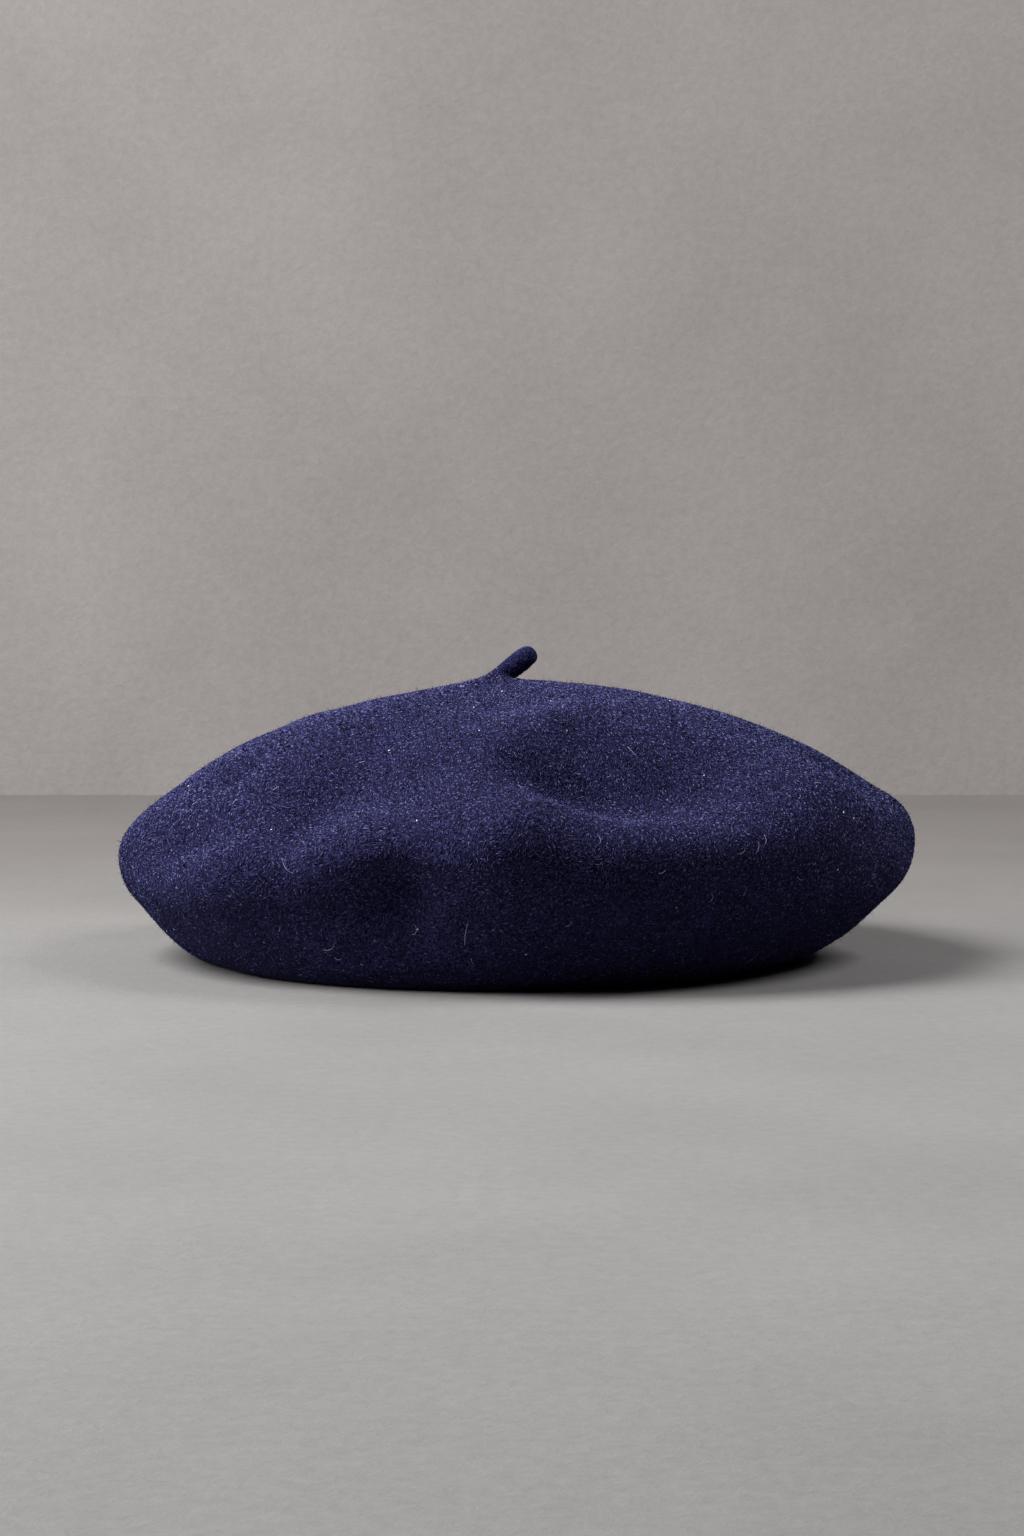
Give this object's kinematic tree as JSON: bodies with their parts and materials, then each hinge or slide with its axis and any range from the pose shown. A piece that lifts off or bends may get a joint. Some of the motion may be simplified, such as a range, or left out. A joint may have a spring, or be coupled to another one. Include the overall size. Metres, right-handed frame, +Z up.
{
  "type": "basque beret",
  "caption": "Soft round wool felt cap with a full crown turned under at the rim, an open underside for the head and a short felt stalk at the middle of the top",
  "frame": {"origin": "under the middle of the hat's bounding box, on the surface it lies on", "axes": "+Z up, the top of the hat; -Y the front; +X the right side, towards which the stalk leans"},
  "size_m": [0.2794, 0.278, 0.1089],
  "materials": {
    "felt": "matte brushed wool felt, dark navy"
  },
  "bodies": {
    "root": {"crown": "felt", "stalk": "felt"}
  },
  "joints": []
}
